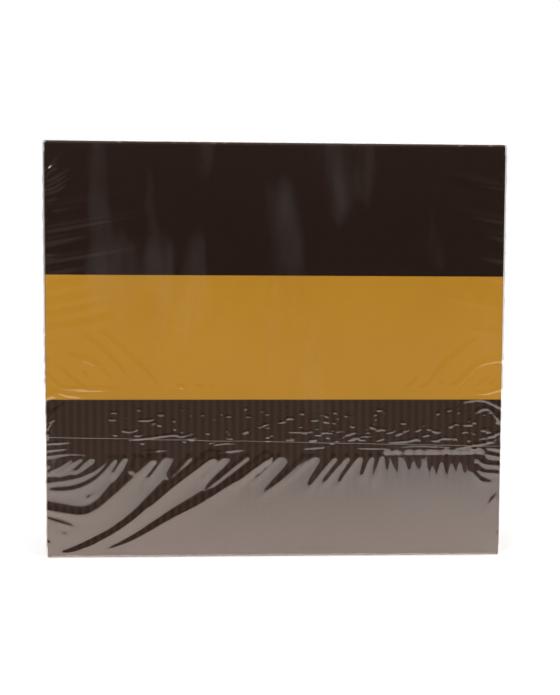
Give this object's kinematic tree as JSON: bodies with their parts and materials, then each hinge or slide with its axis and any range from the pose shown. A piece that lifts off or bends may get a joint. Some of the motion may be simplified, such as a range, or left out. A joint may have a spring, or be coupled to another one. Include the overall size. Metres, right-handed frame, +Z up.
{
  "type": "tea box",
  "caption": "Shut rectangular carton of tea in clear shrink film, dark brown with a mustard band and fine stripes below it, standing upright on a long narrow side.",
  "frame": {"origin": "middle of the film's underside, where the pack stands", "axes": "+Z up, +X along the pack's width to its right end, the wide printed face towards -Y"},
  "size_m": [0.1408, 0.072, 0.1266],
  "materials": {
    "carton_print": "printed, satin",
    "shrink_film": "clear, gloss"
  },
  "bodies": {
    "root": {"carton": "carton_print", "film_wrap": "shrink_film"}
  },
  "joints": []
}
